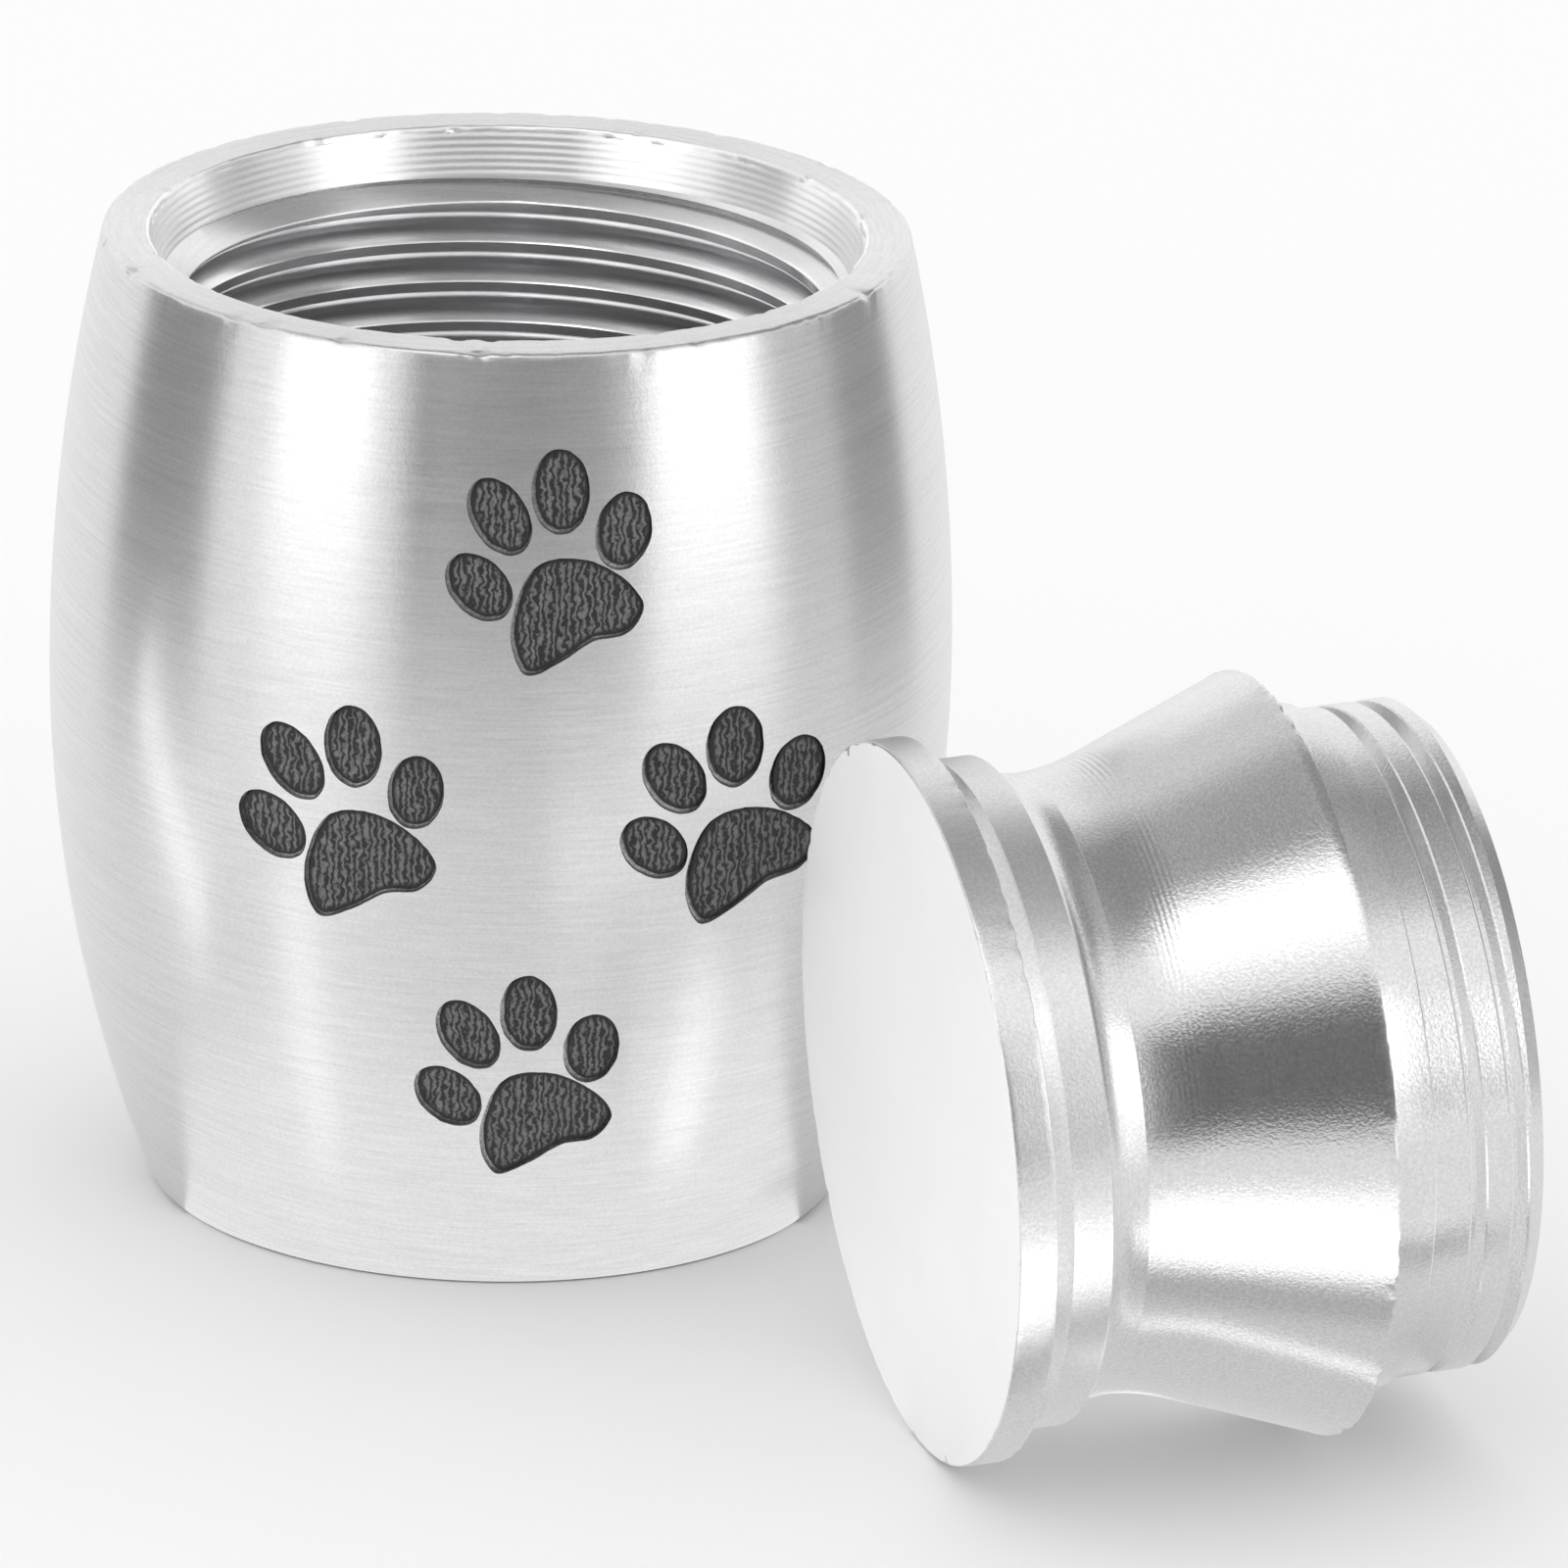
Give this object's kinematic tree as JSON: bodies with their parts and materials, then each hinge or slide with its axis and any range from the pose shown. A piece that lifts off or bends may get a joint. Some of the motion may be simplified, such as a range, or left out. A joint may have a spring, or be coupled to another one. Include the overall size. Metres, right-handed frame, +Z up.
{
  "type": "keepsake urn",
  "caption": "Small barrel-shaped turned aluminium keepsake urn with engraved black paw prints, its flared screw lid with a threaded plug lying on its side beside the open jar.",
  "frame": {"origin": "centre of the jar's base, on the surface that the urn stands on", "axes": "+Z up along the jar's axis; -Y is the front, the side with the paw prints; +X is the viewer's right, where the lid lies"},
  "size_m": [0.0485, 0.0522, 0.0329],
  "materials": {
    "turned_aluminium": "fine-turned satin, bare metal",
    "print_fill": "matte black fill with a grainy, hatched surface"
  },
  "bodies": {
    "jar": {"jar": "turned_aluminium", "print_left_pad": "print_fill", "print_left_toe_inner_left": "print_fill", "print_left_toe_inner_right": "print_fill", "print_left_toe_outer_left": "print_fill", "print_left_toe_outer_right": "print_fill", "print_lower_pad": "print_fill", "print_lower_toe_inner_left": "print_fill", "print_lower_toe_inner_right": "print_fill", "print_lower_toe_outer_left": "print_fill", "print_lower_toe_outer_right": "print_fill", "print_right_pad": "print_fill", "print_right_toe_inner_left": "print_fill", "print_right_toe_inner_right": "print_fill", "print_right_toe_outer_left": "print_fill", "print_right_toe_outer_right": "print_fill", "print_upper_pad": "print_fill", "print_upper_toe_inner_left": "print_fill", "print_upper_toe_inner_right": "print_fill", "print_upper_toe_outer_left": "print_fill", "print_upper_toe_outer_right": "print_fill"},
    "lid": {"lid": "turned_aluminium"}
  },
  "joints": [
    {"name": "lid_tip", "type": "hinge", "parent": "jar", "child": "lid", "pos_m": [0.01401, -0.02573, 0.00011], "axis": [0.284, -0.9588, 0], "range_deg": [0, 86.76]}
  ]
}
